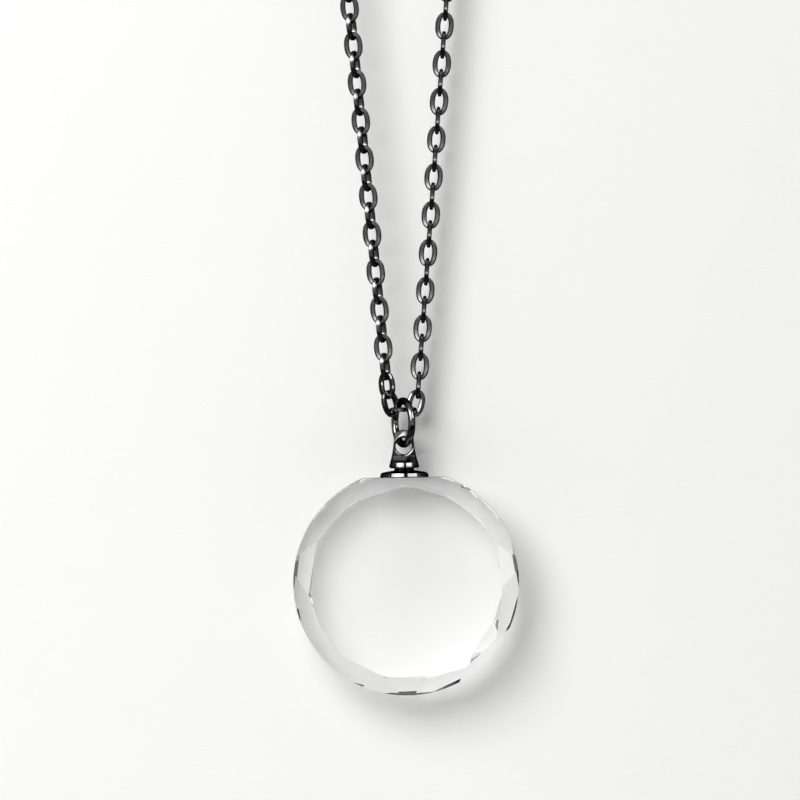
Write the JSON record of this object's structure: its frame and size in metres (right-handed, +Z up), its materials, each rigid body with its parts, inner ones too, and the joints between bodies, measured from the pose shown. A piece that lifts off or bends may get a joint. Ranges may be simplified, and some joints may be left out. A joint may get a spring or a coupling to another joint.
{
  "type": "crystal pendant necklace",
  "caption": "Round faceted clear crystal disc in a flared metal cap, hanging from a plain ring on a dark oval-link chain that forms a whole closed necklace with a barrel clasp.",
  "frame": {"origin": "middle of the loop's top, where a neck or a hook carries the chain", "axes": "+Z up along the hanging necklace, -Y out of the front as the picture sees it, +X to the right in the picture"},
  "size_m": [0.0402, 0.0105, 0.2579],
  "materials": {
    "clear_glass": "polished clear glass with flat-ground facets",
    "polished_gunmetal": "highly polished dark gunmetal plating",
    "dark_chain": "polished black gunmetal plating"
  },
  "bodies": {
    "chain": {"chain_left": "dark_chain", "chain_right": "dark_chain", "clasp": "dark_chain"},
    "ring": {"bail_ring": "polished_gunmetal"},
    "drop": {"cap": "polished_gunmetal", "crystal": "clear_glass"}
  },
  "joints": [
    {"name": "ring_swing", "type": "hinge", "parent": "chain", "child": "ring", "pos_m": [-0.00091, 0, -0.21421], "axis": [0.9205, 0.3907, 0], "range_deg": [-60, 60]},
    {"name": "drop_swing", "type": "hinge", "parent": "ring", "child": "drop", "pos_m": [-0.00091, 0, -0.21758], "axis": [0.3907, -0.9205, 0], "range_deg": [-45, 45]}
  ]
}
